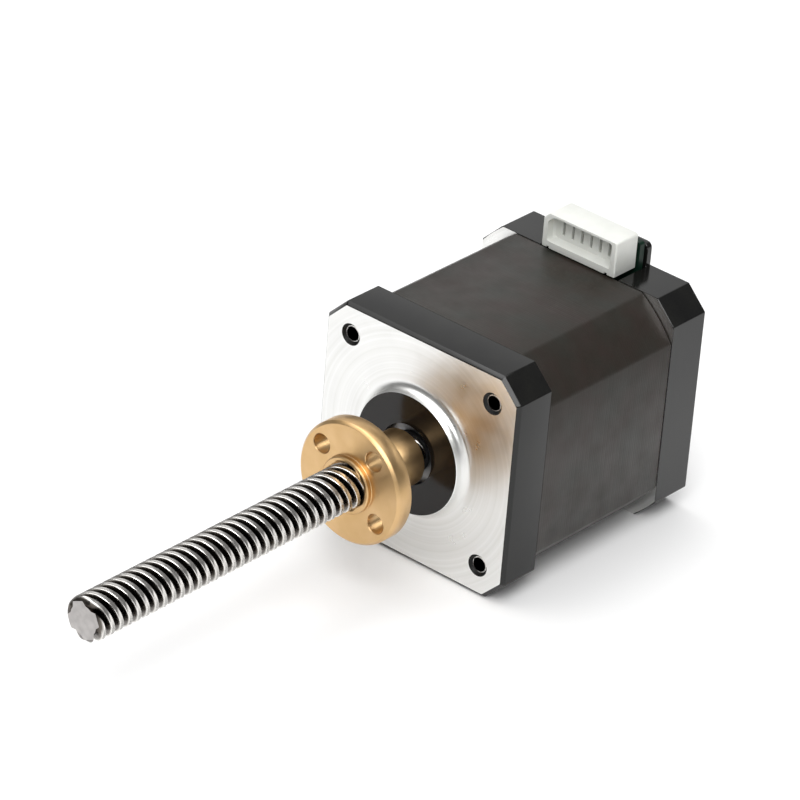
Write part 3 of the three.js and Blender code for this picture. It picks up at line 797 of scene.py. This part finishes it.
def case_screw(index, place):
    """A socket cap screw from the rear."""
    low, high = local_box(f"case_screw_{index}")
    end = high.y
    head = end - CASE_SCREW_HEAD_HEIGHT
    x, z = place
    skin = Skin()
    body = skin.turned(
        [
            (CASE_SCREW_RADIUS - 0.4, low.y),
            (CASE_SCREW_RADIUS, low.y + 0.4),
            (CASE_SCREW_RADIUS, head),
            (CASE_SCREW_HEAD_RADIUS - 0.25, head),
            (CASE_SCREW_HEAD_RADIUS, head + 0.15),
            (CASE_SCREW_HEAD_RADIUS, end - 0.3),
            (CASE_SCREW_HEAD_RADIUS - 0.1, end - 0.08),
            (CASE_SCREW_HEAD_RADIUS - 0.3, end),
        ],
        48,
        place,
    )
    skin.bridge(body)
    skin.cap(body[0])
    turn = math.radians(23 + 31 * index)  # each screw stopped at its own angle
    hexagon = []
    for k in range(6):
        angle = turn + k * math.pi / 3
        hexagon.append(
            (
                x + CASE_SCREW_SOCKET_RADIUS * math.cos(angle),
                z + CASE_SCREW_SOCKET_RADIUS * math.sin(angle),
            )
        )
    mouth = skin.loop(hexagon, end)
    bottom = skin.loop(hexagon, end - CASE_SCREW_SOCKET_DEPTH)
    skin.bridge([mouth, bottom])
    skin.cap(bottom)
    skin.plate([body[-1], mouth])
    piece = skin.finish(f"case_screw_{index}_finished", [ZINC])
    return register(piece, "motor", "fastener_steel", f"case_screw_{index}")


# ---------------------------------------------------------------- screw and nut


def lead_screw():
    """Rolled thread up to the shoulder inside the bearing pocket, and a ground shaft beyond."""
    tip = SCREW_LOW.y
    skin = Skin()

    def trimmed(radius, y):
        from_tip = THREAD_RADIUS - TIP_CHAMFER + max(0, y - tip)
        from_shoulder = THREAD_RADIUS - TIP_CHAMFER + max(0, SCREW_SHOULDER - y)
        return min(radius, from_tip, from_shoulder)

    section = thread_section(THREAD_RADIUS, THREAD_ROOT_RADIUS, THREAD_STARTS)
    rows = thread_loops(skin, section, tip, SCREW_SHOULDER, THREAD_LEAD, trimmed)
    rolled, ground = range(2)
    skin.bridge(rows, rolled)
    skin.cap(rows[0], ground)
    shaft = skin.turned(
        [
            (SHAFT_RADIUS, SCREW_SHOULDER),
            (SHAFT_RADIUS, SCREW_HIGH.y - 0.3),
            (SHAFT_RADIUS - 0.3, SCREW_HIGH.y),
        ],
        48,
    )
    skin.bridge(shaft, ground)
    skin.cap(shaft[-1], ground)
    skin.plate([rows[-1], shaft[0]], ground)
    piece = skin.finish("lead_screw_thread", [SCREW, GROUND], sharp_from=38)
    return register(piece, "rotor", "screw_steel", "lead_screw")


def flanged_nut():
    """A short collar, a flange with four holes and a barrel, threaded through."""
    start = NUT_LOW.y
    end = NUT_HIGH.y
    flange_start = end - NUT_BARREL_LENGTH - NUT_FLANGE_WIDTH
    flange_end = end - NUT_BARREL_LENGTH
    barrel = NUT_BARREL_RADIUS
    mouth = NUT_MOUTH_RADIUS
    flange = NUT_HIGH.x
    skin = Skin()
    collar = skin.turned(
        [
            (mouth, start),
            (barrel - 0.2, start),
            (barrel, start + 0.2),
            (barrel, flange_start - 0.1),
            (barrel + 0.1, flange_start),
        ]
    )
    rim = skin.turned(
        [
            (flange - 0.5, flange_start),
            (flange - 0.08, flange_start + 0.42),
            (flange, flange_start + 0.6),
            (flange, flange_end - 0.4),
            (flange - 0.06, flange_end - 0.24),
            (flange - 0.3, flange_end),
        ]
    )
    tail = skin.turned(
        [
            (barrel + 0.2, flange_end),
            (barrel, flange_end + 0.2),
            (barrel, end - 0.3),
            (barrel - 0.3, end),
            (mouth, end),
        ]
    )
    for loops in (collar, rim, tail):
        skin.bridge(loops)
    front_rims = []
    back_rims = []
    hole_profile = [
        (NUT_HOLE_RADIUS + 0.1, flange_start),
        (NUT_HOLE_RADIUS, flange_start + 0.1),
        (NUT_HOLE_RADIUS, flange_end - 0.1),
        (NUT_HOLE_RADIUS + 0.1, flange_end),
    ]
    for i in range(NUT_HOLE_COUNT):
        angle = FIRST_NUT_HOLE + i * 2 * math.pi / NUT_HOLE_COUNT
        place = (NUT_HOLE_CIRCLE_RADIUS * math.cos(angle), NUT_HOLE_CIRCLE_RADIUS * math.sin(angle))
        hole = skin.turned(hole_profile, 40, place)
        skin.bridge(hole)
        front_rims.append(hole[0])
        back_rims.append(hole[-1])
    skin.plate([rim[0], collar[-1], *front_rims])
    skin.plate([rim[-1], tail[0], *back_rims])

    def trimmed(radius, y):
        lead_in = 1.2 * min(y - start, end - y)
        return max(radius, mouth - lead_in)

    groove = THREAD_RADIUS + NUT_CLEARANCE
    ridge = THREAD_ROOT_RADIUS + 3.5 * NUT_CLEARANCE
    section = thread_section(groove, ridge, THREAD_STARTS, CREST_SHARE + 0.1, FLANK_SHARE - 0.02)
    shifted = [(share - 0.05 / THREAD_STARTS, radius) for share, radius in section]
    rows = thread_loops(skin, shifted, start, end, THREAD_LEAD, trimmed)
    skin.bridge(rows)
    skin.stitch(collar[0], rows[0])
    skin.stitch(tail[-1], rows[-1])
    piece = skin.finish("nut_turned", [BRASS])
    return register(piece, "nut", "nut_brass", "flanged_nut")


# ---------------------------------------------------------------- connector and board


def connector():
    """A header open to the front, with a slot for each pin in its rear wall."""
    x0, y0, z0 = PLUG_LOW
    x1, y1, z1 = PLUG_HIGH
    step = 0.3  # from the feet up to the body
    corner = 1.2  # cut off at the top left, so that the plug goes in one way round
    corners = [(x0, z0 + step), (x1, z0 + step), (x1, z1), (x0 + corner, z1), (x0, z1 - corner)]
    piece = solid_prism(rounded(corners, 0.4), y0, y1, 0.25).finish("connector_shell", [NYLON])
    feet = [
        solid_prism(box_outline(left, right, z0, z0 + 1.2, 0.12), y0 + 0.05, y1 - 0.05)
        for left, right in ((x0 + 0.05, x0 + 1.1), (x0 + 1.5, x1 - 2.2), (x1 - 1.7, x1 - 0.05))
    ]
    combine(piece, "UNION", feet)
    wall = 0.5
    side_wall = 1.0
    bulkhead = y0 + 2.1
    mouth = [
        (x0 + side_wall, z0 + step + side_wall),
        (x1 - side_wall, z0 + step + side_wall),
        (x1 - side_wall, z1 - wall),
        (x0 + side_wall + corner, z1 - wall),
        (x0 + side_wall, z1 - wall - corner),
    ]
    cavity = solid_prism(rounded(mouth, 0.6), y0 - OVERRUN, bulkhead, 0.5)
    slots = [
        plain_box(
            x - SLOT_HALF_WIDTH,
            x + SLOT_HALF_WIDTH,
            bulkhead - OVERRUN,
            y1 - 0.8,
            PIN_HEIGHT - SLOT_HALF_HEIGHT,
            PIN_HEIGHT + SLOT_HALF_HEIGHT,
        )
        for x in PIN_PLACES
    ]
    combine(piece, "DIFFERENCE", [cavity, *slots], bevel=0.06)
    return register(piece, "motor", "connector_nylon", "connector_housing")


def board():
    """A ring round the shaft, with a tab that stands up behind the connector."""
    ring_radius, y1, z1 = BOARD_HIGH
    y0 = BOARD_LOW.y
    skin = Skin()
    outline = box_outline(-BOARD_HALF_WIDTH, BOARD_HALF_WIDTH, BOARD_TAB_BOTTOM, z1, 0.5)
    loops = [skin.loop(outline, y) for y in (y0, y1)]
    skin.bridge(loops)
    skin.cap(loops[0])
    skin.cap(loops[1])
    piece = skin.finish("board_finished", [BOARD])
    ring = turned_tool([(ring_radius, y0), (ring_radius, y1)], count=96)
    combine(piece, "UNION", [ring])
    middle = turned_tool([(BOARD_BORE_RADIUS, y0 - OVERRUN), (BOARD_BORE_RADIUS, y1 + OVERRUN)], count=96)
    combine(piece, "DIFFERENCE", [middle])
    return register(piece, "motor", "board_green", "terminal_board")


def solder_joints():
    """A small cone of solder round each pin, on the back of the board."""
    skin = Skin()
    y = BOARD_HIGH.y
    cone = [(0.7, y), (0.45, y + 0.07), (0.35, y + 0.18), (0.1, y + 0.24)]
    for x in PIN_PLACES:
        loops = skin.turned(cone, 20, (x, PIN_HEIGHT))
        skin.bridge(loops)
        skin.cap(loops[0])
        skin.cap(loops[-1])
    return register(skin.finish("solder_joints", [SOLDER]), "motor", "pin_tin")


# ---------------------------------------------------------------- everything else

CARRIED_OVER = {
    "insulator_nylon": nylon("insulator_nylon"),
    "pin_tin": TIN,
    "bearing_steel": SHADED_BEARING,
    "rotor_steel": ROTOR,
    "magnet": sintered(),
    "coil_copper": copper_wire(),
}


def dress_cad_nodes():
    for entry in frame["record"]["subparts"]:
        material = CARRIED_OVER.get(entry["material_slot"])
        if material:
            mesh = frame["nodes"][entry["node"]].data
            mesh.materials.clear()
            mesh.materials.append(material)


# ---------------------------------------------------------------- camera, lights and floor

CAMERA_AZIMUTH = math.radians(38.865)
CAMERA_ELEVATION = math.radians(29.584)
CAMERA_ROLL = math.radians(4.705)
CAMERA_DISTANCE = 0.88952
CAMERA_LENS = 240.6
FRAMING_RIGHT = 2.352 * MM
FRAMING_UP = 8.301 * MM


def direction(azimuth, elevation):
    """From the object towards a place round it: azimuth 0 is -Y and 90 degrees is +X."""
    flat = math.cos(elevation)
    return Vector((math.sin(azimuth) * flat, -math.cos(azimuth) * flat, math.sin(elevation)))


def camera():
    back = direction(CAMERA_AZIMUTH, CAMERA_ELEVATION)
    level = (-back).cross(Vector((0, 0, 1))).normalized()
    upright = level.cross(-back)
    right = math.cos(CAMERA_ROLL) * level + math.sin(CAMERA_ROLL) * upright
    up = math.cos(CAMERA_ROLL) * upright - math.sin(CAMERA_ROLL) * level
    place = MOUNTING_FACE + back * CAMERA_DISTANCE - right * FRAMING_RIGHT + up * FRAMING_UP
    data = bpy.data.cameras.new("camera")
    data.lens = CAMERA_LENS
    data.sensor_width = 36
    data.clip_end = 10
    eye = bpy.data.objects.new("camera", data)
    eye.matrix_world = Matrix.Translation(place) @ Matrix((right, up, back)).transposed().to_4x4()
    bpy.context.scene.collection.objects.link(eye)
    bpy.context.scene.camera = eye


def softbox(name, azimuth, elevation, distance, width, height, watts):
    """A rectangular light that faces the mounting face from so many degrees and metres away."""
    data = bpy.data.lights.new(name, "AREA")
    data.shape = "RECTANGLE"
    data.size = width
    data.size_y = height
    data.energy = watts
    light = bpy.data.objects.new(name, data)
    away = direction(math.radians(azimuth), math.radians(elevation))
    light.location = MOUNTING_FACE + away * distance
    light.rotation_euler = away.to_track_quat("Z", "Y").to_euler()
    bpy.context.scene.collection.objects.link(light)


def surroundings():
    world = bpy.data.worlds.new("surroundings")
    bpy.context.scene.world = world
    world.use_nodes = True
    world.node_tree.nodes["Background"].inputs["Color"].default_value = (1, 1, 1, 1)
    world.node_tree.nodes["Background"].inputs["Strength"].default_value = 0.2
    bpy.context.scene.view_settings.view_transform = "Standard"
    softbox("rear_left_panel", -141, 30, 1.0, 1.1, 0.8, 1.9)
    softbox("key", 39, 46, 1.3, 0.8, 0.8, 9.5)
    softbox("left_fill", -80, 62, 1.2, 0.8, 0.8, 3.5)
    softbox("overhead", 0, 86, 1.2, 1.4, 1.4, 11.0)


def floor():
    finish = Finish("floor", Specular_IOR_Level=0.1)
    finish.colours(finish.noise(60, 2), (0.3, (0.93, 0.93, 0.93)), (0.7, (0.95, 0.95, 0.95)))
    finish.roughness(finish.noise(30, 2), 0.75, 0.85)
    mesh = bpy.data.meshes.new("floor")
    half = 4.0
    corners = [(-half, -half, 0), (half, -half, 0), (half, half, 0), (-half, half, 0)]
    mesh.from_pydata(corners, [], [(0, 1, 2, 3)])
    mesh.materials.append(finish.material)
    plane = bpy.data.objects.new("floor", mesh)
    bpy.context.scene.collection.objects.link(plane)


# ---------------------------------------------------------------- build

camera()
surroundings()
floor()
dress_cad_nodes()
front_bell()
rear_bell()
stator()
for number, corner in enumerate(CORNERS, 1):
    case_screw(number, corner)
lead_screw()
flanged_nut()
connector()
board()
solder_joints()
